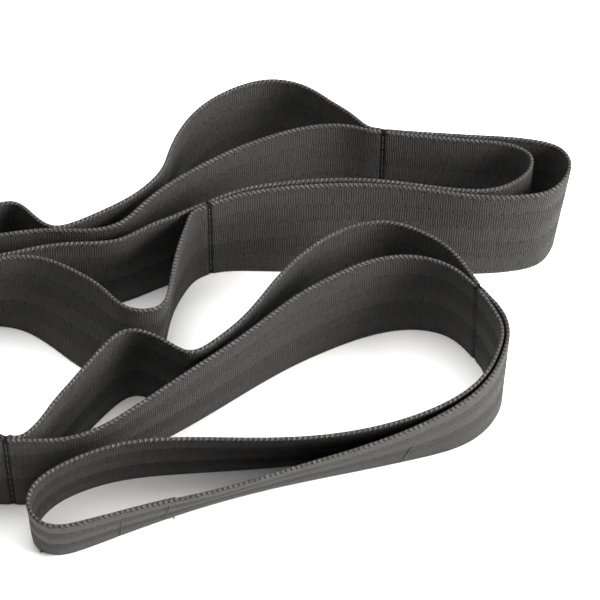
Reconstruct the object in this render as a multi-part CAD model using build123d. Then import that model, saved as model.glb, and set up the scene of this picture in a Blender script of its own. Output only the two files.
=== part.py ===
from build123d import *
import os
from math import cos, hypot, radians, sin, sqrt

# Stretching strap: one endless length of flat webbing, folded flat and sewn
# across at nine seams, which makes a chain of ten loops. It lies on its edge,
# coiled in a loose heap. Millimetres, +Z up, edges of the webbing on Z = 0.

# ---------------------------------------------------------------- sizes
WIDTH = 38.0          # width of the webbing
THICK = 1.3           # thickness of the webbing
PLY_GAP = 0.04        # air left between two plies that are sewn together
SEWN_REACH = 2.5      # how far the loop that carries a seam runs past it
NEXT_REACH = 3.5      # how far from the seam the next loop starts
RAIL_STEP = 2.5       # spacing of the points along an edge of the webbing
PANEL = 20.0          # length of one face along the webbing
THREAD = 0.6          # thickness of the sewing thread
STITCH_PITCH = 3.4    # one stitch and the space after it
STITCH_LENGTH = 2.8   # visible length of one stitch
EDGE_MARGIN = 2.0     # webbing left outside the first and last stitch
ROOT_LOOP = 6         # the loop that all others hang from
LAP_SPAN = (0.375, 0.425)     # where the lapped end lies along loop 1
LAP_ROWS = (0.381, 0.419)     # its two rows of stitches
CENTRE = (-130.0, 0.3)        # middle of the heap on the drawing grid

# ---------------------------------------------------------------- layout
# Seam n joins loop n to loop n + 1: lower end x and y, heading of the strap
# from loop 1 towards loop 10 in degrees, and lean of the upper end.
SEAMS = {
    1: (62.0, -29.0, 120.0, -1.5, -2.5),
    2: (-94.5, -94.5, 180.0, 1.0, -5.0),
    3: (-276.0, -112.0, 185.0, 0.0, 0.0),
    4: (-216.0, -34.0, 12.0, 0.0, -2.0),
    5: (-33.0, 14.5, 30.0, 0.5, -4.0),
    6: (30.5, 49.6, 168.0, 0.0, 0.0),
    7: (-137.0, -8.0, 182.0, 0.0, -2.0),
    8: (-318.0, 14.0, 160.0, 0.0, 0.0),
    9: (-222.0, 84.0, 10.0, 0.0, 0.0),
}

# Every ply is a short list of stations between its seams: x and y of the
# lower edge, then how far the upper edge leans over in x and y.
END_BAND_1 = [
    (66.9, -36.8, -0.8, -2.8), (69.2, -47.5, 0, -3.1),
    (66.2, -57.5, 0.9, -4.3), (57.5, -67.5, 3, -7.5),
    (40, -75, 4.5, -13.3), (17, -81.3, 5.2, -17.5),
    (-8, -88, 6, -19.5), (-32, -96.3, 6.3, -20), (-56, -107, 4.5, -18),
    (-70, -113.8, 3.4, -16.8), (-80, -116, 2, -16),
    (-85.6, -112, 2, -14.5), (-86.3, -105, 2.3, -14.2),
    (-82, -96.8, 2.6, -15), (-73, -90, 2.8, -15.2), (-60, -85, 3, -14.7),
    (-40, -82, 3.3, -15.2), (-20, -80.3, 3.6, -16.5), (5, -77.5, 3.5, -17.5),
    (22, -75, 4, -16.4), (39, -72, 4.4, -13), (56.2, -65.6, 2.9, -7.5),
    (64.4, -56.4, 0.9, -4.3), (67.2, -47.4, 0, -3.1),
    (65, -37.5, -0.8, -2.8),
]
END_BAND_10 = [
    (-207, 90, 0, 0), (-197, 100, 0, 0), (-196, 112, 0, 0),
    (-205, 122, 0, 0), (-222, 127, 0, 0), (-250, 128, 0, 0),
    (-285, 128, 0, 0), (-315, 129.5, 0, 0), (-338, 130, 0, 0),
    (-353, 127, 0, 0), (-357, 121, 0, 0), (-352, 115, 0, 0),
    (-335, 111, 0, 0), (-312, 108.5, 0, 0), (-285, 110.5, 0, 0),
    (-258, 114, 0, 0), (-232, 116.5, 0, 0), (-214, 115, 0, 0),
    (-207, 108, 0, 0), (-208, 98, 0, 0), (-214, 90, 0, 0),
]
SHORT_PLIES = {
    2: [(52.7, -18.3, -1.4, -3), (42.5, -14.8, -1, -2),
        (28.8, -16.3, -0.8, -1), (11, -24.2, 0.3, -1.8),
        (-2, -32.1, 1.7, -2.8), (-22, -47.6, 4, -5.3),
        (-40, -62.2, 5, -6.5), (-58, -74.6, 6.2, -9.2),
        (-72, -83, 5.2, -12), (-82, -89.8, 3, -9.5)],
    3: [(-110, -94.5, 0, -5), (-140, -96.5, 0, -4), (-175, -101, 0, -2),
        (-215, -107.5, 0, -1), (-250, -111, 0, 0)],
    4: [(-296, -110.5, 0, 0), (-314, -100, 0, 0), (-322, -83, 0, 0),
        (-319, -65, 0, 0), (-306, -50, 0, 0), (-287, -42, 0, 0),
        (-262, -38, 0, 0), (-238, -35.5, 0, -1)],
    5: [(-195, -27.5, 0, -3), (-165, -18.5, 0, -5), (-135, -12.5, 0, -6.5),
        (-118, -10.5, 0, -6.5), (-104, -9, 0, -6.5), (-90, -6, 0, -5.5),
        (-76, -4, 0.5, -5.5), (-65, -1.2, 2, -6.5), (-55, 4, 2, -5),
        (-46, 9, 1.5, -5)],
    6: [(-21.5, 17.4, 0, 0), (-7, 21.2, 0, 0), (8, 23, 0, 0),
        (26, 22.8, 0, 0), (44, 19.8, 0, 0), (58, 17.6, 0, 0),
        (69, 18.2, 0, 0), (77.5, 22.8, 0, 0), (82.5, 29.5, 0, 0),
        (83, 36, 0, 0), (78, 41, 0, 0), (64, 44.2, 0, 0),
        (46, 46.6, 0, 0)],
    7: [(18, 52.4, 0, 0), (4, 52, 0, 0), (-11, 46.5, 0, 0),
        (-25, 38.5, 0, 0), (-39, 28, -0.3, -0.6), (-48.5, 20, -0.6, -2),
        (-55.5, 13, -0.6, -4), (-63, 4.8, -0.3, -4.5), (-72, 1.6, 0, -4.4),
        (-87, 1.4, 0, -4.2), (-103, -1.2, 0, -4), (-120, -5.5, 0, -3)],
    8: [(-165, -7.5, 0, -1), (-200, -3, 0, 0), (-240, 0, 0, 0),
        (-280, 3.5, 0, 0), (-303, 8.5, 0, 0)],
    9: [(-334, 23, 0, 0), (-345, 37, 0, 0), (-346, 54, 0, 0),
        (-336, 69, 0, 0), (-318, 78, 0, 0), (-296, 80, 0, 0),
        (-270, 79, 0, 0), (-244, 80.5, 0, 0)],
}
LONG_PLIES = {
    2: [(57.3, -19.2, -1, -1.5), (49.5, -9, -0.2, -1), (40, -2, -0.3, -0.5),
        (30, 1, 0, 0), (18.5, -0.8, 0, -0.3), (7.5, -7.7, 0.2, -0.5),
        (-8.5, -25.5, 1.2, -1), (-21, -43, 2, -3), (-29, -51.3, 1.5, -4.5),
        (-37.5, -55.8, 1.5, -5.5), (-46.5, -51.5, 1.5, -4.5),
        (-57, -46.5, 0.3, -5), (-66, -54, 1.5, -4.5),
        (-75.5, -68.5, 2.5, -4.5), (-82, -80.5, 2, -5),
        (-86.5, -90, 1.5, -5)],
    3: [(-104, -89, 0, -4.5), (-116, -77, 0, -3.5), (-133, -68, 0, -2.5),
        (-152, -71, 0, -2), (-170, -86, 0, -2), (-187, -99, 0, -1.5),
        (-205, -99.5, 0, -1), (-224, -87, 0, -0.5), (-243, -86, 0, 0),
        (-258, -99, 0, 0)],
    4: [(-287, -107.5, 0, 0), (-295, -98, 0, 0), (-290, -86, 0, 0),
        (-293, -75, 0, 0), (-306, -76, 0, 0), (-312.5, -69, 0, 0),
        (-309, -59, 0, 0), (-297, -52, 0, 0), (-283, -54.5, 0, 0),
        (-270, -67, 0, 0), (-255, -69.5, 0, 0), (-243, -57, 0, -0.5),
        (-231, -42, 0, -1)],
    5: [(-197, -32, 0, -3), (-168, -26, 0, -5), (-140, -18.5, 0, -6),
        (-122, -14, 0, -6.5), (-109, -12.8, 0, -6), (-100, -14.5, 0, -2),
        (-89, -21.8, 1, 4.5), (-78, -32, 2, 8.5), (-68, -38.8, 1.5, 7),
        (-59, -41, 1, 0), (-51.5, -37, 3.5, -4), (-48.5, -27, 4.5, -3.5),
        (-46.5, -10, 4.5, -2.5), (-42, 4, 3, -2)],
    6: [(-22, 15.4, 0.2, -0.5), (-6, 15, 0, 4), (20, 16, 0, 5),
        (40, 15, 0.3, 4), (62, 13.8, 0.5, 0.8), (78, 15.3, 1, -0.8),
        (86.5, 18.5, 2.2, -1.2), (92, 26, 3.3, -0.5), (93.6, 33, 3.3, 0),
        (91.5, 39.5, 2.5, 0.5), (84, 43.8, 1, 0.4), (66, 46.4, 0, 0.2),
        (46, 48.4, 0, 0)],
    7: [(20, 57.5, 0, 0), (11, 66.7, 0, 0), (2, 74.8, 0, 0),
        (-11, 78.6, 0, 0), (-24, 74, 0, 0), (-36, 63.5, 0, 0),
        (-43.5, 50, 0, 0), (-47, 38, 0, 0), (-49.5, 28, 0, 0),
        (-58, 17.5, -0.5, -2.5), (-68, 11, -0.5, -4), (-78, 5, -0.5, -4.4),
        (-86, 2.9, 0, -4.2), (-93.5, 8, 0, -3.5), (-101, 14, 0, -3),
        (-110, 11, 0, -3), (-122, 1.5, 0, -3)],
    8: [(-148, -2, 0, -2), (-160, 9, 0, -1), (-176, 21, 0, 0),
        (-195, 25, 0, 0), (-213, 14, 0, 0), (-230, 5.5, 0, 0),
        (-248, 12, 0, 0), (-266, 25, 0, 0), (-285, 27, 0, 0),
        (-302, 18, 0, 0)],
    9: [(-325, 20, 0, 0), (-323, 31, 0, 0), (-312, 38, 0, 0),
        (-306, 47, 0, 0), (-314, 54, 0, 0), (-328, 55, 0, 0),
        (-333, 63, 0, 0), (-324, 71, 0, 0), (-309, 72, 0, 0),
        (-297, 64, 0, 0), (-287, 53, 0, 0), (-272, 50, 0, 0),
        (-259, 57, 0, 0), (-250, 69, 0, 0), (-237, 78, 0, 0)],
}

SHORT_SIDE, LONG_SIDE = 1, -1     # left and right of the heading


# ---------------------------------------------------------------- helpers
def heading(seam):
    """Unit vector along the strap at a seam, from loop 1 towards loop 10."""
    angle = radians(SEAMS[seam][2])
    return Vector(cos(angle), sin(angle), 0)


def seam_station(seam, side, along):
    """Station of one ply at a seam, a distance along the strap from it."""
    x, y, _, lean_x, lean_y = SEAMS[seam]
    ahead = heading(seam)
    offset = side * (THICK + PLY_GAP) / 2
    return (x - ahead.Y * offset + ahead.X * along,
            y + ahead.X * offset + ahead.Y * along, lean_x, lean_y)


def reach(seam, loop):
    """How far a loop's webbing runs past a seam, along the heading."""
    towards = 1 if loop == seam else -1
    carries_seam = abs(loop - ROOT_LOOP) < abs(2 * seam + 1 - loop - ROOT_LOOP)
    return towards * (SEWN_REACH if carries_seam else -NEXT_REACH)


def edge_lines(stations, start_way, end_way):
    """Smooth lower and upper edge lines through the stations of one ply."""
    knots = [0.0]
    for here, after in zip(stations, stations[1:]):
        knots.append(knots[-1] + hypot(after[0] - here[0], after[1] - here[1]))
    lower, upper = [], []
    for x, y, lean_x, lean_y in stations:
        rise = sqrt(WIDTH**2 - lean_x**2 - lean_y**2)
        lower.append(Vector(x - CENTRE[0], y - CENTRE[1], 0))
        upper.append(lower[-1] + Vector(lean_x, lean_y, rise))
    ways = [start_way, end_way]
    return [Edge.make_spline(points, ways, parameters=knots, scale=False)
            for points in (lower, upper)]


def section(lines, t, offset=0.0):
    """Foot, width direction and the two half-thickness vectors at t."""
    foot, head = lines[0] @ t, lines[1] @ t
    across = (head - foot).normalized()
    foot_side = (lines[0] % t).cross(across).normalized()
    head_side = (lines[1] % t).cross(across).normalized()
    foot += Vector(0, 0, abs(foot_side.Z) * THICK / 2 - foot.Z)
    foot += foot_side * offset
    return foot, across, foot_side * (THICK / 2), head_side * (THICK / 2)


def webbing(lines, span=(0.0, 1.0), offset=0.0):
    """A length of webbing standing on its edge along a pair of edge lines."""
    start, end = span
    steps = max(4, round(lines[0].length * (end - start) / RAIL_STEP))
    places = [start + (end - start) * i / steps for i in range(steps + 1)]
    rails = [[], [], [], []]
    for t in places:
        foot, across, foot_side, head_side = section(lines, t, offset)
        head = foot + across * WIDTH
        corners = (foot + foot_side, head + head_side,
                   head - head_side, foot - foot_side)
        for rail, corner in zip(rails, corners):
            rail.append(corner)
    edges = [Edge.make_spline(rail, parameters=places) for rail in rails]
    panels = max(1, round(lines[0].length * (end - start) / PANEL))
    faces = []
    for i in range(panels):
        parts = [edge.trim(i / panels, (i + 1) / panels) for edge in edges]
        for edge, after in zip(parts, parts[1:] + parts[:1]):
            faces.append(Face.make_surface_from_curves(edge, after))
    for i in (0, -1):
        foot_line = Edge.make_line(rails[0][i], rails[3][i])
        head_line = Edge.make_line(rails[1][i], rails[2][i])
        faces.append(Face.make_surface_from_curves(foot_line, head_line))
    return Solid(Shell(faces))


def stitch(place, depth):
    """One stitch: a flat ring of thread that goes right through the plies."""
    outer = Box(STITCH_LENGTH, depth + 2 * THREAD, THREAD)
    inner = Box(STITCH_LENGTH - 2 * THREAD, depth, 2 * THREAD)
    return place * (outer - inner)


def stitch_row(foot, across, side, depth):
    """A row of stitches across the whole width of the webbing."""
    usable = WIDTH - 2 * EDGE_MARGIN
    count = int((usable - STITCH_LENGTH) / STITCH_PITCH) + 1
    first = (WIDTH - (count - 1) * STITCH_PITCH) / 2
    row = []
    for i in range(count):
        middle = foot + across * (first + i * STITCH_PITCH)
        along = across.cross(side).normalized()
        row.append(stitch(Plane(middle, x_dir=across, z_dir=along), depth))
    return row


def save(name, shape):
    shape.label = name
    export_step(shape, f"parts/{name}.step")


# ---------------------------------------------------------------- pieces
def ply_lines(loop, side):
    """Edge lines of one ply of a middle loop, from seam to seam."""
    stations = (SHORT_PLIES if side == SHORT_SIDE else LONG_PLIES)[loop]
    first = seam_station(loop - 1, side, reach(loop - 1, loop))
    last = seam_station(loop, side, reach(loop, loop))
    return edge_lines([first, *stations, last], heading(loop - 1), heading(loop))


def end_band_lines(loop):
    """Edge lines of an end loop: out along one ply, round the fold and back."""
    seam = 1 if loop == 1 else 9
    stations = END_BAND_1 if loop == 1 else END_BAND_10
    out = heading(seam) * (-1 if loop == 1 else 1)
    first = seam_station(seam, LONG_SIDE, reach(seam, loop))
    last = seam_station(seam, SHORT_SIDE, reach(seam, loop))
    return edge_lines([first, *stations, last], out, -out)


def seam_stitching(seam):
    """The row of stitches that holds the two plies together at a seam."""
    x, y, _, lean_x, lean_y = SEAMS[seam]
    foot = Vector(x - CENTRE[0], y - CENTRE[1], 0)
    rise = sqrt(WIDTH**2 - lean_x**2 - lean_y**2)
    across = Vector(lean_x, lean_y, rise).normalized()
    side = heading(seam).cross(across)
    return stitch_row(foot, across, side, 2 * THICK + PLY_GAP)


def lap_stitching(lines):
    """Two rows of stitches that close the webbing where its ends lap."""
    rows = []
    for t in LAP_ROWS:
        foot, across, side, _ = section(lines, t, (THICK + PLY_GAP) / 2)
        rows += stitch_row(foot, across, side, 2 * THICK + PLY_GAP)
    return rows


os.makedirs("parts", exist_ok=True)

for loop in range(2, 10):
    for side, word in ((SHORT_SIDE, "short"), (LONG_SIDE, "long")):
        lines = ply_lines(loop, side)
        save(f"loop_{loop}_{word}_ply", webbing(lines))
        print(f"loop {loop} {word} ply: {lines[0].length:.0f} mm cut length")

for loop in (1, 10):
    lines = end_band_lines(loop)
    save(f"loop_{loop}_band", webbing(lines))
    print(f"loop {loop} band: {lines[0].length:.0f} mm cut length")

end_lines = end_band_lines(1)
save("lapped_end", webbing(end_lines, LAP_SPAN, THICK + PLY_GAP))
save("lap_stitching", Compound(children=lap_stitching(end_lines)))
for seam in SEAMS:
    save(f"seam_{seam}_stitching", Compound(children=seam_stitching(seam)))
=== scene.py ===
from math import cos, pi, radians, sin

import bpy
import numpy as np
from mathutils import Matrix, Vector


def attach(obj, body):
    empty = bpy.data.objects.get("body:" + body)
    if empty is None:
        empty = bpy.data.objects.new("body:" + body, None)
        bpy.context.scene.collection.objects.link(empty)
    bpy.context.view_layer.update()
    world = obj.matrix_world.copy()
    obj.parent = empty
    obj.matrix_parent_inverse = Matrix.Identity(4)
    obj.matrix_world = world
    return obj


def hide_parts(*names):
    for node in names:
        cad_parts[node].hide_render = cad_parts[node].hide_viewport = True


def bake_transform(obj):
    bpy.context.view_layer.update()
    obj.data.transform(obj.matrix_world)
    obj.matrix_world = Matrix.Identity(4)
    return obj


# Stretching strap: one endless length of flat webbing, sewn across at nine
# seams into a chain of ten loops, lying on its edge in a loose heap. The
# webbing is worked out in millimetres and meshed in metres, in the CAD frame.

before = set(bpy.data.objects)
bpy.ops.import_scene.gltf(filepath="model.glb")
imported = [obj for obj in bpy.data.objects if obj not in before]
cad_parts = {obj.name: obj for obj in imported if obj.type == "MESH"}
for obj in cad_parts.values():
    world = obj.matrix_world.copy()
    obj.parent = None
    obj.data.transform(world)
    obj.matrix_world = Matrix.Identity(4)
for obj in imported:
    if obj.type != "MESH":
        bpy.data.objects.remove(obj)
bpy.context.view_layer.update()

# ---------------------------------------------------------------- sizes
MM = 0.001            # metres in a millimetre
WIDTH = 38.0          # width of the webbing
THICK = 1.3           # thickness of the webbing
PLY_GAP = 0.04        # air between two plies at a seam
SEWN_REACH = 2.5      # how far the loop that carries a seam runs past it
NEXT_REACH = 3.5      # how far from the seam the next loop starts
ROOT_LOOP = 6         # the loop that all others hang from
LAP_SPAN = (0.375, 0.425)     # where the lapped end lies along loop 1
LAP_ROWS = (0.381, 0.419)     # its two rows of stitches
LAPPED_WIDTH = 31.0           # drawn narrower, to stay below the band's edge
CENTRE = (-130.0, 0.3)        # middle of the heap on the drawing grid

ROW_STEP = 0.28       # spacing of the mesh rows along the webbing
RIB_PITCH = 0.84      # one weft rib to the next
RIB_DEPTH = 0.10      # how deep the weft lies between two ribs
BANDS = 5             # lengthwise bands of the weave
SELVEDGE = 1.5        # width of the bound edge on each side
CHANNEL = 0.09        # depth of the line between two bands
PINHOLE = 0.20        # extra depth of the pinholes along that line
PINHOLE_RIBS = 5      # ribs from one pinhole to the next
EDGE_COLUMNS = (0.16, 0.55)           # mesh lines on an edge, as shares of it
BAND_COLUMNS = (0.09, 0.5, 0.91)      # and on a band
EDGE_THIN = 0.72      # thickness of the bound edge at its rim, against the bands
EDGE_NOTCH = 0.05     # depth of the notches between its turns of yarn
SCALLOP = 0.22        # how far the rim dips between two ribs
PINCH = 0.42          # how far a row of stitches draws the webbing in
LAP_PINCH = 0.05      # and less at the lapped end
PINCH_REACH = 0.95    # and how far along the webbing that reaches
WAVE = 0.10           # slight unevenness of the webbing's faces
WAVE_LENGTHS = (9.0, 23.0)    # the two lengths, over 2 pi, that it mixes
SEAM_CALM = 24.0      # the faces are even within this distance of a seam

THREAD = 0.46         # thickness of the sewing thread
STITCH_PITCH = 3.4    # one stitch and the space after it
STITCH_LENGTH = 3.0   # length of one stitch
EDGE_MARGIN = 2.0     # webbing left outside the first and last stitch

STITCH_DIVE = 1.9     # how deep a stitch's ends dive, in threads
STITCH_PROUD = 0.28   # how far its middle stands proud, in threads
THREAD_TWIST = (0.31, 0.17, 0.94)     # no thread here runs this way
THREAD_TAPER = 0.45   # a thread's ends are this share of its thickness
THREAD_SIDES = 8      # corners of its round section
STITCH_POINTS = 9     # points along a stitch
TAIL_POINTS = 12      # points along a loose end of thread
# Loose ends of thread on top of seam 2: steps in x, y and z.
TAILS_ON_SEAM_2 = [
    [(0.4, 0.4, 1.1), (0.8, 0.2, 0.8), (1.1, -0.2, 0.1)],
    [(-0.4, 0.2, 1.0), (-1.0, 0.3, 0.4)],
]
TAIL_SINK = 1.4       # how far below the webbing's upper edge they start
# Loose ends of thread on loop 1: share of its band, then steps out from the
# band, on along it and up.
TAILS_ON_LOOP_1 = [
    (0.371, [(0.3, 0.2, 0.0), (0.5, 0.3, 0.1), (0.5, -0.2, 0.0)]),
    (0.485, [(0.3, 0.2, 0.0), (0.4, 0.3, 0.0), (0.4, 0.1, 0.1)]),
]

WARP_YARNS = 40.0     # warp yarns across the width
WARP_SHARE = 0.3      # share of the relief that is warp; the rest is ribs
EDGE_SLANT = 20.0     # slant of the yarn that binds the edges
SATIN_HIGH = (0.045, 0.042, 0.0395, 1.0)      # colours of the smooth bands: the weave's own texture, with painted shade in its low parts
SATIN_LOW = (0.014, 0.0137, 0.0135, 1.0)
RIBBED_HIGH = (0.051, 0.0485, 0.0465, 1.0)    # and of the ribbed ones, likewise with painted shade in their low parts
RIBBED_LOW = (0.002, 0.002, 0.0023, 1.0)
EDGE_LIGHT = (0.120, 0.114, 0.108, 1.0)       # the two yarns of the edges
EDGE_DARK = (0.003, 0.003, 0.0032, 1.0)
# Painted shade in the pinholes between the bands.
PINHOLE_SHADE = (0.001, 0.001, 0.001, 1.0)
FLECK_DARK = (0.005, 0.005, 0.0052, 1.0)      # single dark and light hairs
FLECK_LIGHT = (0.098, 0.094, 0.090, 1.0)
WORN_TONE = (0.01176, 0.012, 0.01224, 1.0)    # dull patches in the dye
PAINTED_SEAM_SHADE = (0.004, 0.004, 0.004, 1.0)     # painted shade on the webbing where a seam draws it in
SHEEN_TINT = (0.7875, 0.75, 0.7125, 1.0)
THREAD_DARK = (0.006, 0.006, 0.006, 1.0)
THREAD_LIGHT = (0.028, 0.028, 0.028, 1.0)
SATIN_ROUGH = 0.46
RIBBED_ROUGH = 0.66
FLECK_ROUGH = 0.12    # extra roughness of the flecks
FLECK_SCALE = 1500.0  # fine unevenness of the yarn
PATCH_SCALE = 28.0    # broad unevenness of the dye
FLECK_SHARE = 0.7     # how much each of them counts in the dull patches
PATCH_SHARE = 0.5
FLECK_RELIEF = 0.35   # heights in the bump, against the weave's own
EDGE_RELIEF = 0.8
# Smooth steps in the webbing's pattern and in its painted shade, from none of it to all of
# it.
LINE_STEP = (0.09, 0.06)      # nearness to a line between bands, in bands
PINHOLE_STEP = (0.82, 0.92)   # nearness to a pinhole along that line
TWIST_STEP = (0.35, 0.65)     # from the dark to the light yarn of an edge
RAISED_STEP = (0.2, 0.8)      # from the low to the high parts of the weave, the low ones as painted shade
WORN_STEP = (0.85, 0.35)
DARK_HAIR_STEP = (0.50, 0.34)
LIGHT_HAIR_STEP = (0.52, 0.68)
# Painted shade where a seam draws the webbing in.
SEAM_SHADE_STEP = (0.05, 0.7)

# ---------------------------------------------------------------- studio sizes
CAMERA_AIM = (0.130, -0.0003)         # floor point at the picture's centre
CAMERA_DISTANCE = 0.7937
CAMERA_ELEVATION = radians(45)
CAMERA_LENS = 132.0
FLOOR_HALF = 4.0
FLOOR_TONE = (0.86, 0.855, 0.84, 1.0)
FLOOR_TONE_LIGHT = (0.88, 0.875, 0.865, 1.0)
WORLD_COLOUR = (1.0, 0.995, 0.985, 1.0)
WORLD_STRENGTH = 0.42
# Name, place, the point it is aimed at, size, watts and colour.
LIGHTS = [
    ("key", (1.30, -0.42, 0.55), (0.1, 0.0, 0.02), 0.85, 60.0, (1.0, 0.985, 0.96)),
    ("fill", (-0.7, -0.9, 1.1), (0.05, 0.0, 0.0), 0.9, 1.0, (1.0, 0.99, 0.98)),
    ("top", (0.15, 0.1, 1.3), (0.1, 0.0, 0.0), 1.3, 30.0, (1.0, 1.0, 1.0)),
]

# ---------------------------------------------------------------- layout
# Seam n joins loop n to loop n + 1: lower end x and y, heading of the strap
# from loop 1 towards loop 10 in degrees, and lean of the upper end.
SEAMS = {
    1: (62.0, -29.0, 120.0, -1.5, -2.5),
    2: (-94.5, -94.5, 180.0, 1.0, -5.0),
    3: (-276.0, -112.0, 185.0, 0.0, 0.0),
    4: (-216.0, -34.0, 12.0, 0.0, -2.0),
    5: (-33.0, 14.5, 30.0, 0.5, -4.0),
    6: (30.5, 49.6, 168.0, 0.0, 0.0),
    7: (-137.0, -8.0, 182.0, 0.0, -2.0),
    8: (-318.0, 14.0, 160.0, 0.0, 0.0),
    9: (-222.0, 84.0, 10.0, 0.0, 0.0),
}

LAST_SEAM = len(SEAMS)
LAST_LOOP = LAST_SEAM + 1

# Every ply is a short list of stations between its seams: x and y of the
# lower edge, then how far the upper edge leans over in x and y.
END_BAND_1 = [
    (66.9, -36.8, -0.8, -2.8), (69.2, -47.5, 0, -3.1),
    (66.2, -57.5, 0.9, -4.3), (57.5, -67.5, 3, -7.5),
    (40, -75, 4.5, -13.3), (17, -81.3, 5.2, -17.5),
    (-8, -88, 6, -19.5), (-32, -96.3, 6.3, -20), (-56, -107, 4.5, -18),
    (-70, -113.8, 3.4, -16.8), (-80, -116, 2, -16),
    (-85.6, -112, 2, -14.5), (-86.3, -105, 2.3, -14.2),
    (-82, -96.8, 2.6, -15), (-73, -90, 2.8, -15.2), (-60, -85, 3, -14.7),
    (-40, -82, 3.3, -15.2), (-20, -80.3, 3.6, -16.5), (5, -77.5, 3.5, -17.5),
    (22, -75, 4, -16.4), (39, -72, 4.4, -13), (56.2, -65.6, 2.9, -7.5),
    (64.4, -56.4, 0.9, -4.3), (67.2, -47.4, 0, -3.1),
    (65, -37.5, -0.8, -2.8),
]
END_BAND_10 = [
    (-207, 90, 0, 0), (-197, 100, 0, 0), (-196, 112, 0, 0),
    (-205, 122, 0, 0), (-222, 127, 0, 0), (-250, 128, 0, 0),
    (-285, 128, 0, 0), (-315, 129.5, 0, 0), (-338, 130, 0, 0),
    (-353, 127, 0, 0), (-357, 121, 0, 0), (-352, 115, 0, 0),
    (-335, 111, 0, 0), (-312, 108.5, 0, 0), (-285, 110.5, 0, 0),
    (-258, 114, 0, 0), (-232, 116.5, 0, 0), (-214, 115, 0, 0),
    (-207, 108, 0, 0), (-208, 98, 0, 0), (-214, 90, 0, 0),
]
SHORT_PLIES = {
    2: [(52.7, -18.3, -1.4, -3), (42.5, -14.8, -1, -2),
        (28.8, -16.3, -0.8, -1), (11, -24.2, 0.3, -1.8),
        (-2, -32.1, 1.7, -2.8), (-22, -47.6, 4, -5.3),
        (-40, -62.2, 5, -6.5), (-58, -74.6, 6.2, -9.2),
        (-72, -83, 5.2, -12), (-82, -89.8, 3, -9.5)],
    3: [(-110, -94.5, 0, -5), (-140, -96.5, 0, -4), (-175, -101, 0, -2),
        (-215, -107.5, 0, -1), (-250, -111, 0, 0)],
    4: [(-296, -110.5, 0, 0), (-314, -100, 0, 0), (-322, -83, 0, 0),
        (-319, -65, 0, 0), (-306, -50, 0, 0), (-287, -42, 0, 0),
        (-262, -38, 0, 0), (-238, -35.5, 0, -1)],
    5: [(-195, -27.5, 0, -3), (-165, -18.5, 0, -5), (-135, -12.5, 0, -6.5),
        (-118, -10.5, 0, -6.5), (-104, -9, 0, -6.5), (-90, -6, 0, -5.5),
        (-76, -4, 0.5, -5.5), (-65, -1.2, 2, -6.5), (-55, 4, 2, -5),
        (-46, 9, 1.5, -5)],
    6: [(-21.5, 17.4, 0, 0), (-7, 21.2, 0, 0), (8, 23, 0, 0),
        (26, 22.8, 0, 0), (44, 19.8, 0, 0), (58, 17.6, 0, 0),
        (69, 18.2, 0, 0), (77.5, 22.8, 0, 0), (82.5, 29.5, 0, 0),
        (83, 36, 0, 0), (78, 41, 0, 0), (64, 44.2, 0, 0),
        (46, 46.6, 0, 0)],
    7: [(18, 52.4, 0, 0), (4, 52, 0, 0), (-11, 46.5, 0, 0),
        (-25, 38.5, 0, 0), (-39, 28, -0.3, -0.6), (-48.5, 20, -0.6, -2),
        (-55.5, 13, -0.6, -4), (-63, 4.8, -0.3, -4.5), (-72, 1.6, 0, -4.4),
        (-87, 1.4, 0, -4.2), (-103, -1.2, 0, -4), (-120, -5.5, 0, -3)],
    8: [(-165, -7.5, 0, -1), (-200, -3, 0, 0), (-240, 0, 0, 0),
        (-280, 3.5, 0, 0), (-303, 8.5, 0, 0)],
    9: [(-334, 23, 0, 0), (-345, 37, 0, 0), (-346, 54, 0, 0),
        (-336, 69, 0, 0), (-318, 78, 0, 0), (-296, 80, 0, 0),
        (-270, 79, 0, 0), (-244, 80.5, 0, 0)],
}
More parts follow.
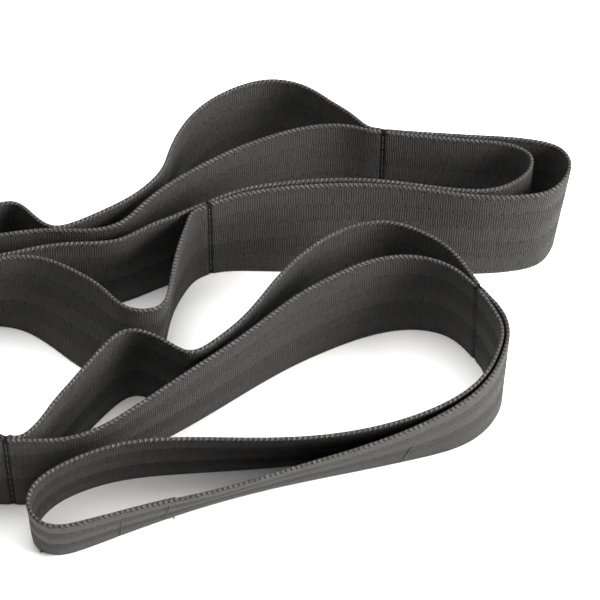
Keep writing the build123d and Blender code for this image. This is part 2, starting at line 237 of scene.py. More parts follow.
LONG_PLIES = {
    2: [(57.3, -19.2, -1, -1.5), (49.5, -9, -0.2, -1), (40, -2, -0.3, -0.5),
        (30, 1, 0, 0), (18.5, -0.8, 0, -0.3), (7.5, -7.7, 0.2, -0.5),
        (-8.5, -25.5, 1.2, -1), (-21, -43, 2, -3), (-29, -51.3, 1.5, -4.5),
        (-37.5, -55.8, 1.5, -5.5), (-46.5, -51.5, 1.5, -4.5),
        (-57, -46.5, 0.3, -5), (-66, -54, 1.5, -4.5),
        (-75.5, -68.5, 2.5, -4.5), (-82, -80.5, 2, -5),
        (-86.5, -90, 1.5, -5)],
    3: [(-104, -89, 0, -4.5), (-116, -77, 0, -3.5), (-133, -68, 0, -2.5),
        (-152, -71, 0, -2), (-170, -86, 0, -2), (-187, -99, 0, -1.5),
        (-205, -99.5, 0, -1), (-224, -87, 0, -0.5), (-243, -86, 0, 0),
        (-258, -99, 0, 0)],
    4: [(-287, -107.5, 0, 0), (-295, -98, 0, 0), (-290, -86, 0, 0),
        (-293, -75, 0, 0), (-306, -76, 0, 0), (-312.5, -69, 0, 0),
        (-309, -59, 0, 0), (-297, -52, 0, 0), (-283, -54.5, 0, 0),
        (-270, -67, 0, 0), (-255, -69.5, 0, 0), (-243, -57, 0, -0.5),
        (-231, -42, 0, -1)],
    5: [(-197, -32, 0, -3), (-168, -26, 0, -5), (-140, -18.5, 0, -6),
        (-122, -14, 0, -6.5), (-109, -12.8, 0, -6), (-100, -14.5, 0, -2),
        (-89, -21.8, 1, 4.5), (-78, -32, 2, 8.5), (-68, -38.8, 1.5, 7),
        (-59, -41, 1, 0), (-51.5, -37, 3.5, -4), (-48.5, -27, 4.5, -3.5),
        (-46.5, -10, 4.5, -2.5), (-42, 4, 3, -2)],
    6: [(-22, 15.4, 0.2, -0.5), (-6, 15, 0, 4), (20, 16, 0, 5),
        (40, 15, 0.3, 4), (62, 13.8, 0.5, 0.8), (78, 15.3, 1, -0.8),
        (86.5, 18.5, 2.2, -1.2), (92, 26, 3.3, -0.5), (93.6, 33, 3.3, 0),
        (91.5, 39.5, 2.5, 0.5), (84, 43.8, 1, 0.4), (66, 46.4, 0, 0.2),
        (46, 48.4, 0, 0)],
    7: [(20, 57.5, 0, 0), (11, 66.7, 0, 0), (2, 74.8, 0, 0),
        (-11, 78.6, 0, 0), (-24, 74, 0, 0), (-36, 63.5, 0, 0),
        (-43.5, 50, 0, 0), (-47, 38, 0, 0), (-49.5, 28, 0, 0),
        (-58, 17.5, -0.5, -2.5), (-68, 11, -0.5, -4), (-78, 5, -0.5, -4.4),
        (-86, 2.9, 0, -4.2), (-93.5, 8, 0, -3.5), (-101, 14, 0, -3),
        (-110, 11, 0, -3), (-122, 1.5, 0, -3)],
    8: [(-148, -2, 0, -2), (-160, 9, 0, -1), (-176, 21, 0, 0),
        (-195, 25, 0, 0), (-213, 14, 0, 0), (-230, 5.5, 0, 0),
        (-248, 12, 0, 0), (-266, 25, 0, 0), (-285, 27, 0, 0),
        (-302, 18, 0, 0)],
    9: [(-325, 20, 0, 0), (-323, 31, 0, 0), (-312, 38, 0, 0),
        (-306, 47, 0, 0), (-314, 54, 0, 0), (-328, 55, 0, 0),
        (-333, 63, 0, 0), (-324, 71, 0, 0), (-309, 72, 0, 0),
        (-297, 64, 0, 0), (-287, 53, 0, 0), (-272, 50, 0, 0),
        (-259, 57, 0, 0), (-250, 69, 0, 0), (-237, 78, 0, 0)],
}

SHORT_SIDE, LONG_SIDE = 1, -1     # left and right of the heading


# ---------------------------------------------------------------- lines
def heading(seam):
    """Unit vector along the strap at a seam, from loop 1 towards loop 10."""
    angle = radians(SEAMS[seam][2])
    return np.array([cos(angle), sin(angle), 0.0])


def seam_foot(seam):
    """The lower end of a seam, in the part's own frame."""
    x, y = SEAMS[seam][:2]
    return np.array([x - CENTRE[0], y - CENTRE[1], 0.0])


def seam_station(seam, side, along):
    """Station of one ply at a seam, a distance along the strap from it."""
    x, y, _, lean_x, lean_y = SEAMS[seam]
    ahead = heading(seam)
    offset = side * (THICK + PLY_GAP) / 2
    return (x - ahead[1] * offset + ahead[0] * along,
            y + ahead[0] * offset + ahead[1] * along, lean_x, lean_y)


def carrier(seam):
    """The loop that a seam's stitches belong to, the one nearer the root."""
    return seam if abs(seam - ROOT_LOOP) < abs(seam + 1 - ROOT_LOOP) else seam + 1


def reach(seam, loop):
    """How far a loop's webbing runs past a seam, along the heading."""
    towards = 1 if loop == seam else -1
    return towards * (SEWN_REACH if carrier(seam) == loop else -NEXT_REACH)


def bends(knots, points, start_way, end_way):
    """Second derivatives at the knots of the smooth line through points."""
    gaps = np.diff(knots)
    slopes = np.diff(points, axis=0) / gaps[:, None]
    slopes = np.vstack([start_way, slopes, end_way])
    size = len(knots)
    matrix = np.zeros((size, size))
    for i, gap in enumerate(gaps):
        matrix[i:i + 2, i:i + 2] += gap * np.array([[2, 1], [1, 2]])
    return np.linalg.solve(matrix, 6 * np.diff(slopes, axis=0))


def edge_lines(stations, start_way, end_way):
    """Smooth lower and upper edge lines through the stations of one ply."""
    stations = np.array(stations, float)
    steps = np.hypot(*np.diff(stations[:, :2], axis=0).T)
    knots = np.concatenate([[0.0], np.cumsum(steps)])
    rise = np.sqrt(WIDTH**2 - (stations[:, 2:]**2).sum(axis=1))
    lower = np.column_stack([stations[:, :2] - CENTRE, 0 * rise])
    upper = lower + np.column_stack([stations[:, 2:], rise])
    return [(knots, line, bends(knots, line, start_way, end_way))
            for line in (lower, upper)]


def along(line, t):
    """Points and directions of a smooth line at the parameters t."""
    knots, points, curl = line
    i = np.clip(np.searchsorted(knots, t, side="right") - 1, 0, len(knots) - 2)
    gap = (knots[i + 1] - knots[i])[:, None]
    after = t[:, None] - knots[i][:, None]
    before = gap - after
    low = points[i] / gap - curl[i] * gap / 6
    high = points[i + 1] / gap - curl[i + 1] * gap / 6
    place = (curl[i] * before**3 + curl[i + 1] * after**3) / (6 * gap)
    place += low * before + high * after
    way = (curl[i + 1] * after**2 - curl[i] * before**2) / (2 * gap)
    return place, way + high - low


def unit(vectors):
    return vectors / np.linalg.norm(vectors, axis=-1, keepdims=True)


def at_shares(line, shares):
    """Points and directions at shares of a smooth line's length, and the length."""
    fine = np.linspace(0, line[0][-1], 60 * len(line[0]))
    steps = np.linalg.norm(np.diff(along(line, fine)[0], axis=0), axis=1)
    run = np.concatenate([[0.0], np.cumsum(steps)])
    place, way = along(line, np.interp(shares * run[-1], run, fine))
    return place, unit(way), run[-1]


def strip(lines, span=(0.0, 1.0), offset=0.0):
    """Rows of a standing length of webbing: foot, across, and its side at
    the foot and at the head, with each row's distance along the line."""
    length = at_shares(lines[0], np.array([0.0]))[2]
    count = round(length * (span[1] - span[0]) / ROW_STEP) + 1
    shares = np.linspace(*span, count)
    foot, foot_way, _ = at_shares(lines[0], shares)
    head, head_way, _ = at_shares(lines[1], shares)
    across = unit(head - foot)
    foot_side = unit(np.cross(foot_way, across))
    head_side = unit(np.cross(head_way, across))
    foot[:, 2] = np.abs(foot_side[:, 2]) * THICK / 2
    foot += foot_side * offset
    return {"foot": foot, "across": across, "foot_side": foot_side,
            "head_side": head_side, "run": shares * length}


def turned_round(rows):
    """The same rows, walked from the other end."""
    back = {key: value[::-1].copy() for key, value in rows.items()}
    back["foot_side"] *= -1
    back["head_side"] *= -1
    back["run"] = rows["run"][-1] - back["run"]
    return back


def ply_rows(loop, side):
    """Rows of one ply of a middle loop, from its first seam to its second."""
    stations = (SHORT_PLIES if side == SHORT_SIDE else LONG_PLIES)[loop]
    first = seam_station(loop - 1, side, reach(loop - 1, loop))
    last = seam_station(loop, side, reach(loop, loop))
    return strip(edge_lines([first, *stations, last], heading(loop - 1), heading(loop)))


def end_band_lines(loop):
    """Edge lines of an end loop: out along one ply, round the fold and back."""
    seam, stations, way = (1, END_BAND_1, -1) if loop == 1 else (LAST_SEAM, END_BAND_10, 1)
    out = heading(seam) * way
    first = seam_station(seam, LONG_SIDE, reach(seam, loop))
    last = seam_station(seam, SHORT_SIDE, reach(seam, loop))
    return edge_lines([first, *stations, last], out, -out)


# ---------------------------------------------------------------- the ring
# The whole webbing is one closed ring of rows: round loop 1, out along the
# short plies, round loop 10 and home along the long plies. Walked this way,
# the side vector always points into the loops.

# Where the ring is cut into pieces: a share of each ply, from its first seam.
MIDDLE_CUT = 0.5
LONG_PLY_CUTS = {9: 0.12}         # this ply doubles back beside its hinge
END_CUTS = {1: (0.17, 0.874), LAST_LOOP: (0.089, 0.924)}
BRIDGE_SHARES = (1 / 3, 2 / 3)     # rows added between one ply and the next


def bridge_rows(last, first, share):
    """A row between the end of one ply and the start of the next."""
    return {key: last[key][-1:] * (1 - share) + first[key][:1] * share
            for key in last if key != "run"}


def ring_of_rows():
    """The closed ring of rows, its cuts, and where each seam crosses it."""
    walk = [("end", 1)]
    walk += [("short", loop) for loop in range(2, LAST_LOOP)]
    walk += [("end", LAST_LOOP)]
    walk += [("long", loop) for loop in range(LAST_SEAM, 1, -1)]
    parts, cuts, crossings = [], [], {}
    for kind, loop in walk:
        if kind == "end":
            rows = strip(end_band_lines(loop))
            shares = END_CUTS[loop]
        elif kind == "short":
            rows = ply_rows(loop, SHORT_SIDE)
            shares = (MIDDLE_CUT,)
        else:
            rows = ply_rows(loop, LONG_SIDE)
            shares = (LONG_PLY_CUTS.get(loop, MIDDLE_CUT),)
        homeward = kind == "long" or loop == LAST_LOOP
        if homeward:
            rows = turned_round(rows)
            shares = [1 - share for share in shares[::-1]]
        parts.append((rows, shares))
        seam = loop - 1 if kind == "long" else min(loop, LAST_SEAM)
        past = reach(seam, loop) * (-1 if homeward else 1)
        crossings[seam, "long" if homeward else "short"] = (len(parts) - 1, past)

    bridge = NEXT_REACH - SEWN_REACH
    pieces, starts, run, row = [], [], 0.0, 0
    for i, (rows, shares) in enumerate(parts):
        after = parts[(i + 1) % len(parts)][0]
        count = len(rows["run"])
        cuts += [row + round(share * (count - 1)) for share in shares]
        starts.append(run + rows["run"][-1])
        pieces.append({**rows, "run": rows["run"] + run})
        for share in BRIDGE_SHARES:
            between = bridge_rows(rows, after, share)
            pieces.append({**between, "run": np.array([starts[-1] + share * bridge])})
        run = starts[-1] + bridge
        row += count + len(BRIDGE_SHARES)
    ring = {key: np.concatenate([piece[key] for piece in pieces]) for key in pieces[0]}
    seams = {name: starts[i] - past for name, (i, past) in crossings.items()}
    return ring, cuts, seams, run


RING, CUTS, SEAM_RUNS, TOTAL = ring_of_rows()
# A whole number of ribs and of pinholes go round the ring.
PINHOLE_PAIRS = round(TOTAL / RIB_PITCH / (2 * PINHOLE_RIBS))
PITCH = TOTAL / (2 * PINHOLE_RIBS * PINHOLE_PAIRS)
LOOP_1_LENGTH = at_shares(end_band_lines(1)[0], np.array([0.0]))[2]


# ---------------------------------------------------------------- webbing
def width_columns():
    """Places across the width: (place, kind) from the foot to the head."""
    band = (WIDTH - 2 * SELVEDGE) / BANDS
    columns = [(share * SELVEDGE, "edge") for share in EDGE_COLUMNS]
    for i in range(BANDS):
        low = SELVEDGE + i * band
        columns.append((low, "line"))
        columns += [(low + share * band, "band") for share in BAND_COLUMNS]
    columns.append((WIDTH - SELVEDGE, "line"))
    columns += [(WIDTH - share * SELVEDGE, "edge") for share in EDGE_COLUMNS[::-1]]
    return columns


COLUMNS = width_columns()


def ring_distance(run, place):
    """Distance along the closed ring from a place, forwards or back."""
    return (run - place + TOTAL / 2) % TOTAL - TOTAL / 2


def drawn_in(run, places, depth):
    """How far rows of stitches at these places draw the face in."""
    pull = np.zeros(len(run))
    for place in places:
        pull = np.maximum(pull, np.exp(-(ring_distance(run, place) / PINCH_REACH)**2))
    return depth * pull


def evenness(run):
    """0 near a seam and 1 away from it, for the waves in the faces."""
    nearest = np.full(len(run), SEAM_CALM)
    for place in SEAM_RUNS.values():
        nearest = np.minimum(nearest, np.abs(ring_distance(run, place)))
    share = nearest / SEAM_CALM
    return share**2 * (3 - 2 * share)


def face_depth(run, place, kind):
    """Distance of a face from the webbing's middle, along one column."""
    bands = (place - SELVEDGE) / (WIDTH - 2 * SELVEDGE) * BANDS
    ribs = 2 * pi * run / PITCH
    if kind == "edge":
        from_edge = min(place, WIDTH - place) / SELVEDGE
        swell = EDGE_THIN + (1 - EDGE_THIN) * sin(min(from_edge, 0.5) * pi)
        notch = EDGE_NOTCH * (1 + np.cos(ribs + 2 * pi * from_edge)) / 2
        return THICK / 2 * swell - notch
    if kind == "line":
        holes = np.clip(np.cos(ribs / PINHOLE_RIBS + round(bands) * pi), 0, 1)**6
        return THICK / 2 - CHANNEL - PINHOLE * holes
    return THICK / 2 - RIB_DEPTH * (1 - np.cos(ribs + int(bands) * pi)) / 2


def webbing_points(rows, pull):
    """Points round the webbing's section, row by row, and each one's place."""
    run = rows["run"]
    short, long = WAVE_LENGTHS
    wave = WAVE * evenness(run) * np.sin(run / short + 2 * np.sin(run / long))
    outside, inside, places = [], [], []
    for place, kind in COLUMNS:
        side = rows["foot_side"] * (1 - place / WIDTH) + rows["head_side"] * place / WIDTH
        middle = rows["foot"] + rows["across"] * place
        shift = wave * sin(place / WIDTH * 2 * pi)
        depth = face_depth(run, place, kind)
        outside.append(middle + side * (shift - depth + pull)[:, None])
        inside.append(middle + side * (shift + depth)[:, None])
        places.append(place)
    scallop = SCALLOP / 2 * (1 + np.cos(2 * pi * run / PITCH))[:, None]
    foot_edge = rows["foot"] + rows["across"] * scallop
    head_edge = rows["foot"] + rows["across"] * (WIDTH - scallop)
    points = np.stack([*outside, head_edge, *inside[::-1], foot_edge], axis=1)
    return points, np.array([*places, WIDTH, *places[::-1], 0.0])


def webbing_faces(size, count):
    """Faces between count rows of size points, and over the two cut ends."""
    here = np.arange(size)
    after = (here + 1) % size
    first = np.arange(count - 1)[:, None] * size
    quads = np.stack([first + here, first + after,
                      first + size + after, first + size + here], axis=-1)
    faces = quads.reshape(-1, 4).tolist()
    half = len(COLUMNS)
    cap = [[i, i + 1, size - 3 - i, size - 2 - i] for i in range(half - 1)]
    cap += [[half - 1, half, half + 1], [size - 1, 0, size - 2]]
    for start, flip in ((0, -1), ((count - 1) * size, 1)):
        faces += [[start + corner for corner in face][::flip] for face in cap]
    return faces, 2 * len(cap)


def webbing_mesh(name, rows, stitched=True):
    """Mesh of a length of webbing: its rows skinned by the width columns."""
    run = rows["run"]
    pull = np.zeros(len(run))
    if stitched:
        laps = [share * LOOP_1_LENGTH for share in LAP_ROWS]
        pull = np.maximum(drawn_in(run, SEAM_RUNS.values(), PINCH),
                          drawn_in(run, laps, LAP_PINCH))
    points, places = webbing_points(rows, pull)
    size = len(places)
    faces, caps = webbing_faces(size, len(run))

    mesh = bpy.data.meshes.new(name)
    mesh.from_pydata((points.reshape(-1, 3) * MM).tolist(), [], faces)
    mesh.shade_smooth()
    corners = np.zeros(len(mesh.loops), int)
    mesh.loops.foreach_get("vertex_index", corners)
    u = np.repeat(run / PITCH, size)
    v = np.tile(places / WIDTH, len(run))
    layer = mesh.uv_layers.new(name="weave")
    layer.uv.foreach_set("vector", np.column_stack([u, v])[corners].ravel())
    # Painted shade along the seams: the share of the full draw-in, which the material turns
    # into darker colour.
    shade = mesh.attributes.new("painted_seam_shade", "FLOAT", "POINT")
    shade.data.foreach_set("value", np.repeat(pull / PINCH, size).astype(np.float32))
    sharp = mesh.attributes.new("sharp_face", "BOOLEAN", "FACE")
    flags = np.zeros(len(faces), bool)
    flags[-caps:] = True
    sharp.data.foreach_set("value", flags)
    return mesh


def ring_rows(start, end):
    """The ring's rows from one cut to another, over its join if need be."""
    size = len(RING["run"])
    if end <= start:
        end += size
    picked = np.arange(start, end + 1)
    rows = {key: RING[key][picked % size] for key in RING}
    rows["run"] = rows["run"] + TOTAL * (picked >= size)
    return rows


def add_object(name, mesh, material):
    obj = bpy.data.objects.new(name, mesh)
    mesh.materials.append(material)
    bpy.context.scene.collection.objects.link(obj)
    return obj


def add_webbing(name, rows, material, nodes, stitched=True):
    """One piece of webbing that stands for its nodes."""
    obj = add_object(name, webbing_mesh(name, rows, stitched), material)
    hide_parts(*nodes)
    return obj


def add_seam_piece(seam, word, start, end, material):
    """The webbing of one ply from the middle of one loop to the next."""
    nodes = [f"loop_{seam + 1}_{word}_ply"] if seam < LAST_SEAM else []
    obj = add_webbing(f"webbing_seam_{seam}_{word}", ring_rows(start, end), material, nodes)
    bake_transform(obj)


def add_end_piece(loop, start, end, material):
    """The fold of an end loop."""
    name = f"webbing_loop_{loop}_end"
    obj = add_webbing(name, ring_rows(start, end), material, [f"loop_{loop}_band"])
    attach(obj, f"loop_{loop}")


# ---------------------------------------------------------------- thread
def tube(line, radius, sides=THREAD_SIDES):
    """Verts and faces of a closed tube of thread round a line of points."""
    line = np.array(line, float)
    ways = unit(np.gradient(line, axis=0))
    square = unit(np.cross(ways, THREAD_TWIST))
    third = np.cross(ways, square)
    angles = (np.arange(sides) * 2 * pi / sides)[:, None]
    ring = square[:, None] * np.cos(angles) + third[:, None] * np.sin(angles)
    radii = np.full(len(line), radius)
    radii[[0, -1]] *= THREAD_TAPER
    verts = (line[:, None] + ring * radii[:, None, None]).reshape(-1, 3)
    faces = []
    for row in range(len(line) - 1):
        low, high = row * sides, (row + 1) * sides
        for i in range(sides):
            j = (i + 1) % sides
            faces.append([low + i, low + j, high + j, high + i])
    faces.append(list(range(sides))[::-1])
    faces.append([len(verts) - sides + i for i in range(sides)])
    return verts, faces


def thread_mesh(name, lines):
    """One mesh of several lengths of thread."""
    verts, faces = [], []
    for line in lines:
        more_verts, more_faces = tube(line, THREAD / 2)
        faces += [[len(verts) + i for i in face] for face in more_faces]
        verts += (more_verts * MM).tolist()
    mesh = bpy.data.meshes.new(name)
    mesh.from_pydata(verts, [], faces)
    mesh.shade_smooth()
    return mesh


def stitch_lines(foot, across, side, surfaces, width=WIDTH):
    """Rows of stitches up the webbing, one on each surface, which is its
    distance along the side vector from the foot."""
    usable = width - 2 * EDGE_MARGIN
    count = int((usable - STITCH_LENGTH) / STITCH_PITCH) + 1
    first = (width - (count - 1) * STITCH_PITCH) / 2
    arc = np.linspace(-1, 1, STITCH_POINTS)
    lines = []
    for i in range(count):
        middle = foot + across * (first + i * STITCH_PITCH)
        for surface in surfaces:
            sunk = THREAD * (STITCH_DIVE * arc**6 - STITCH_PROUD)
            out = surface - np.sign(surface) * sunk
            lines.append(middle + np.outer(arc * STITCH_LENGTH / 2, across)
                         + np.outer(out, side))
    return lines


def thread_tail(start, steps):
    """A loose end of thread: a smooth curve from a point, led by its steps."""
    corners = np.cumsum([start, *steps], axis=0)
    share = np.linspace(0, 1, TAIL_POINTS)[:, None]
    levels = [np.repeat(corner[None], TAIL_POINTS, axis=0) for corner in corners]
    while len(levels) > 1:
        levels = [a + (b - a) * share for a, b in zip(levels, levels[1:])]
    return levels[0]


def add_thread(name, lines, body, material, nodes):
    obj = add_object(name, thread_mesh(name, lines), material)
    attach(obj, body)
    if nodes:
        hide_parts(*nodes)


def add_seam_thread(seam, material):
    """The stitches of one seam, on the outer face of each ply."""
    lean_x, lean_y = SEAMS[seam][3:]
    across = unit(np.array([lean_x, lean_y, (WIDTH**2 - lean_x**2 - lean_y**2)**0.5]))
    surface = THICK + PLY_GAP / 2 - PINCH
    side = np.cross(heading(seam), across)
    lines = stitch_lines(seam_foot(seam), across, side, (surface, -surface))
    add_thread(f"thread_seam_{seam}", lines, f"loop_{carrier(seam)}", material,
               [f"seam_{seam}_stitching"])


def add_lap_thread(lines, material):
    """Two rows of stitches through loop 1's band and the lapped end."""
    rows = strip(lines)
    stitches = []
    for share in LAP_ROWS:
        i = round(share * (len(rows["run"]) - 1))
        middle = (THICK + PLY_GAP) / 2
        foot = rows["foot"][i] + rows["foot_side"][i] * middle
        near = THICK + PLY_GAP / 2
        stitches += stitch_lines(foot, rows["across"][i], rows["foot_side"][i],
                                 (near, LAP_PINCH - near), LAPPED_WIDTH)
    add_thread("thread_lap", stitches, "loop_1", material, ["lap_stitching"])


def add_thread_tails(lines, material):
    """Cut ends of thread: on top of seam 2, and at the foot of loop 1's band."""
    lean_x, lean_y = SEAMS[2][3:]
    top = seam_foot(2) + (lean_x, lean_y, WIDTH - TAIL_SINK)
    tails = [thread_tail(top, steps) for steps in TAILS_ON_SEAM_2]
    add_thread("thread_tail_seam_2", tails, "loop_3", material, [])
    rows = strip(lines)
    tails = []
    for share, steps in TAILS_ON_LOOP_1:
        i = round(share * (len(rows["run"]) - 1))
        along_band = unit(rows["foot"][i + 1] - rows["foot"][i])
        out = np.cross((0.0, 0.0, 1.0), along_band)
        out *= -np.sign(out @ rows["foot_side"][i])
        start = rows["foot"][i] + out * THICK / 2 + (0, 0, THREAD)
        tails.append(thread_tail(start, [out * far + along_band * on + (0, 0, up)
                                         for far, on, up in steps]))
    add_thread("thread_tails_loop_1", tails, "loop_1", material, [])


def add_lapped_end(lines, material):
    """The end of the webbing that lies inside loop 1's band."""
    rows = strip(lines, LAP_SPAN, THICK + PLY_GAP)
    rows["across"] = rows["across"] * LAPPED_WIDTH / WIDTH
    obj = add_webbing("webbing_lapped_end", rows, material, ["lapped_end"],
                      stitched=False)
    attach(obj, "loop_1")


# ---------------------------------------------------------------- materials
class Nodes:
    """A material's node tree, with short calls for the nodes used here."""

    def __init__(self, name):
        self.material = bpy.data.materials.new(name)
        self.material.use_nodes = True
        self.tree = self.material.node_tree
        self.shader = self.tree.nodes["Principled BSDF"]

    def feed(self, socket, value):
        if isinstance(value, bpy.types.NodeSocket):
            self.tree.links.new(value, socket)
        else:
            socket.default_value = value

    def math(self, operation, a, b=0.0, c=0.0):
        node = self.tree.nodes.new("ShaderNodeMath")
        node.operation = operation
        for socket, value in zip(node.inputs, (a, b, c)):
            self.feed(socket, value)
        return node.outputs[0]

    def wave(self, turns):
        """A smooth wave from 0 to 1 and back for each whole turn."""
        turned = self.math("COSINE", self.math("MULTIPLY", turns, 2 * pi))
        return self.math("MULTIPLY_ADD", turned, 0.5, 0.5)

    def step(self, value, low, high):
        """0 below low, 1 above high and smooth between them."""
        node = self.tree.nodes.new("ShaderNodeMapRange")
        node.interpolation_type = "SMOOTHSTEP"
        for name, number in (("Value", value), ("From Min", low), ("From Max", high)):
            self.feed(node.inputs[name], number)
        return node.outputs["Result"]

    def mix(self, share, a, b):
        node = self.tree.nodes.new("ShaderNodeMix")
        node.data_type = "RGBA"
        self.feed(node.inputs["Factor"], share)
        self.feed(node.inputs[6], a)
        self.feed(node.inputs[7], b)
        return node.outputs[2]

    def noise(self, scale, detail=2.0, vector=None):
        node = self.tree.nodes.new("ShaderNodeTexNoise")
        node.inputs["Scale"].default_value = scale
        node.inputs["Detail"].default_value = detail
        if vector is not None:
            self.feed(node.inputs["Vector"], vector)
        return node.outputs["Fac"]

    def bump(self, height, strength, distance):
        node = self.tree.nodes.new("ShaderNodeBump")
        node.inputs["Strength"].default_value = strength
        node.inputs["Distance"].default_value = distance
        self.feed(node.inputs["Height"], height)
        self.feed(self.shader.inputs["Normal"], node.outputs["Normal"])


def webbing_material():
    """Charcoal ribbed webbing: five bands of weave that alternate, a line of
    pinholes between them, and edges bound with light and dark yarn. Painted
    shade darkens the low parts of the weave, the pinholes and the webbing
    along the seams."""
    n = Nodes("charcoal_webbing")
    uv = n.tree.nodes.new("ShaderNodeUVMap")
    uv.uv_map = "weave"
    split = n.tree.nodes.new("ShaderNodeSeparateXYZ")
    n.feed(split.inputs[0], uv.outputs[0])
    ribs, place = split.outputs[0], split.outputs[1]
    edge = SELVEDGE / WIDTH
    bands = n.math("MULTIPLY", n.math("SUBTRACT", place, edge), BANDS / (1 - 2 * edge))
    odd = n.math("MODULO", n.math("FLOOR", bands), 2.0)

    # Ribs and yarns that alternate are half a turn apart.
    rib = n.wave(n.math("MULTIPLY_ADD", odd, 0.5, ribs))
    pick = n.math("FLOOR", n.math("MULTIPLY", ribs, 2.0))
    yarns = n.math("MULTIPLY", place, WARP_YARNS)
    warp = n.wave(n.math("MULTIPLY_ADD", pick, 0.5, yarns))
    on_line = n.step(n.math("PINGPONG", bands, 0.5), *LINE_STEP)
    line_turn = n.math("MULTIPLY", n.math("MODULO", n.math("ROUND", bands), 2.0), 0.5)
    hole_turn = n.math("MULTIPLY_ADD", ribs, 1 / PINHOLE_RIBS, line_turn)
    holes = n.math("MULTIPLY", on_line, n.step(n.wave(hole_turn), *PINHOLE_STEP))
    from_edge = n.math("MINIMUM", place, n.math("SUBTRACT", 1.0, place))
    on_edge = n.step(from_edge, edge, edge * 0.8)
    half_ribs = n.math("MULTIPLY", ribs, 0.5)
    twist = n.wave(n.math("MULTIPLY_ADD", from_edge, EDGE_SLANT, half_ribs))
    twist = n.step(twist, *TWIST_STEP)

    fleck = n.noise(FLECK_SCALE, 3.0)
    patch = n.noise(PATCH_SCALE, 2.0)
    height = n.math("MULTIPLY", rib, 1 - WARP_SHARE)
    height = n.math("MULTIPLY_ADD", warp, WARP_SHARE, height)
    # The weave's texture, partly its own and partly painted shade: the low parts of the ribs
    # and yarns are coloured darker.
    raised = n.step(height, *RAISED_STEP)
    satin = n.mix(raised, SATIN_LOW, SATIN_HIGH)
    ribbed = n.mix(raised, RIBBED_LOW, RIBBED_HIGH)
    colour = n.mix(odd, satin, ribbed)
    # Painted shade: the pinholes are coloured near black.
    colour = n.mix(holes, colour, PINHOLE_SHADE)
    colour = n.mix(on_edge, colour, n.mix(twist, EDGE_DARK, EDGE_LIGHT))
    worn = n.math("MULTIPLY", patch, PATCH_SHARE)
    worn = n.math("MULTIPLY_ADD", fleck, FLECK_SHARE, worn)
    colour = n.mix(n.step(worn, *WORN_STEP), colour, WORN_TONE)
    colour = n.mix(n.step(fleck, *DARK_HAIR_STEP), colour, FLECK_DARK)
    colour = n.mix(n.step(fleck, *LIGHT_HAIR_STEP), colour, FLECK_LIGHT)
    # Painted shade: the webbing's colour darkens where a seam draws it in.
    line = n.tree.nodes.new("ShaderNodeAttribute")
    line.attribute_name = "painted_seam_shade"
    colour = n.mix(n.step(line.outputs["Fac"], *SEAM_SHADE_STEP), colour, PAINTED_SEAM_SHADE)
    n.feed(n.shader.inputs["Base Color"], colour)

    rough = n.math("MULTIPLY_ADD", odd, RIBBED_ROUGH - SATIN_ROUGH, SATIN_ROUGH)
    rough = n.math("MAXIMUM", rough, n.math("MULTIPLY", on_edge, RIBBED_ROUGH))
    rough = n.math("MULTIPLY_ADD", fleck, FLECK_ROUGH, rough)
    n.feed(n.shader.inputs["Roughness"], rough)
    n.shader.inputs["Specular IOR Level"].default_value = 0.08
    n.shader.inputs["Sheen Weight"].default_value = 0.02
    n.shader.inputs["Sheen Roughness"].default_value = 0.45
    n.shader.inputs["Sheen Tint"].default_value = SHEEN_TINT
    relief = n.math("MULTIPLY_ADD", fleck, FLECK_RELIEF, height)
    bound = n.math("MULTIPLY", twist, on_edge)
    relief = n.math("MULTIPLY_ADD", bound, EDGE_RELIEF, relief)
    n.bump(relief, strength=0.7, distance=0.00024)
    return n.material


def thread_material():
    """Black twisted polyester thread."""
    n = Nodes("black_thread")
    fleck = n.noise(FLECK_SCALE * 2, 2.0)
    n.feed(n.shader.inputs["Base Color"], n.mix(fleck, THREAD_DARK, THREAD_LIGHT))
    n.shader.inputs["Roughness"].default_value = 0.5
    n.shader.inputs["Specular IOR Level"].default_value = 0.4
    n.bump(fleck, strength=0.4, distance=0.0001)
    return n.material


def floor_material():
    n = Nodes("pale_floor")
    tone = n.noise(1.2, 1.0)
    n.feed(n.shader.inputs["Base Color"], n.mix(tone, FLOOR_TONE, FLOOR_TONE_LIGHT))
    n.shader.inputs["Roughness"].default_value = 0.9
    n.shader.inputs["Specular IOR Level"].default_value = 0.1
    return n.material


# ---------------------------------------------------------------- studio
def add_floor():
    mesh = bpy.data.meshes.new("floor")
    half = FLOOR_HALF
    mesh.from_pydata([(-half, -half, 0), (half, -half, 0), (half, half, 0), (-half, half, 0)],
                     [], [(0, 1, 2, 3)])
    floor = add_object("floor", mesh, floor_material())


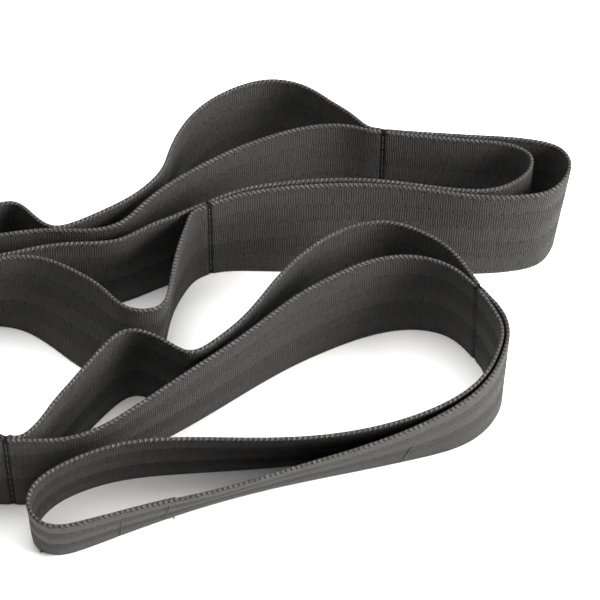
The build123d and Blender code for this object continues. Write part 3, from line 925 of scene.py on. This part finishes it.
def add_light(name, place, aim, size, watts, colour):
    data = bpy.data.lights.new(name, "AREA")
    data.shape = "DISK"
    data.size = size
    data.energy = watts
    data.color = colour
    light = bpy.data.objects.new(name, data)
    light.location = place
    way = Vector(aim) - Vector(place)
    light.rotation_euler = way.to_track_quat("-Z", "Y").to_euler()
    bpy.context.scene.collection.objects.link(light)


def add_studio():
    world = bpy.data.worlds.new("studio")
    world.use_nodes = True
    background = world.node_tree.nodes["Background"]
    background.inputs["Color"].default_value = WORLD_COLOUR
    background.inputs["Strength"].default_value = WORLD_STRENGTH
    bpy.context.scene.world = world
    for light in LIGHTS:
        add_light(*light)
    bpy.context.scene.view_settings.view_transform = "Standard"


def add_camera():
    """The photograph's view: 45 degrees down, looking along +Y."""
    data = bpy.data.cameras.new("camera")
    data.lens = CAMERA_LENS
    data.sensor_width = 36.0
    camera = bpy.data.objects.new("camera", data)
    x, y = CAMERA_AIM
    back = CAMERA_DISTANCE * cos(CAMERA_ELEVATION)
    camera.location = (x, y - back, CAMERA_DISTANCE * sin(CAMERA_ELEVATION))
    camera.rotation_euler = (pi / 2 - CAMERA_ELEVATION, 0, 0)
    bpy.context.scene.collection.objects.link(camera)
    bpy.context.scene.camera = camera


# ---------------------------------------------------------------- build
def build():
    webbing = webbing_material()
    thread = thread_material()
    names = [("end", 1, "")]
    names += [("seam", seam, "short") for seam in range(1, LAST_LOOP)]
    names += [("end", LAST_LOOP, "")]
    names += [("seam", seam, "long") for seam in range(LAST_SEAM, 0, -1)]
    for i, (kind, number, word) in enumerate(names):
        start, end = CUTS[i], CUTS[(i + 1) % len(CUTS)]
        if kind == "end":
            add_end_piece(number, start, end, webbing)
        else:
            add_seam_piece(number, word, start, end, webbing)
    for seam in SEAMS:
        add_seam_thread(seam, thread)
    loop_1_lines = end_band_lines(1)
    add_lapped_end(loop_1_lines, webbing)
    add_lap_thread(loop_1_lines, thread)
    add_thread_tails(loop_1_lines, thread)


add_floor()
build()
add_studio()
add_camera()
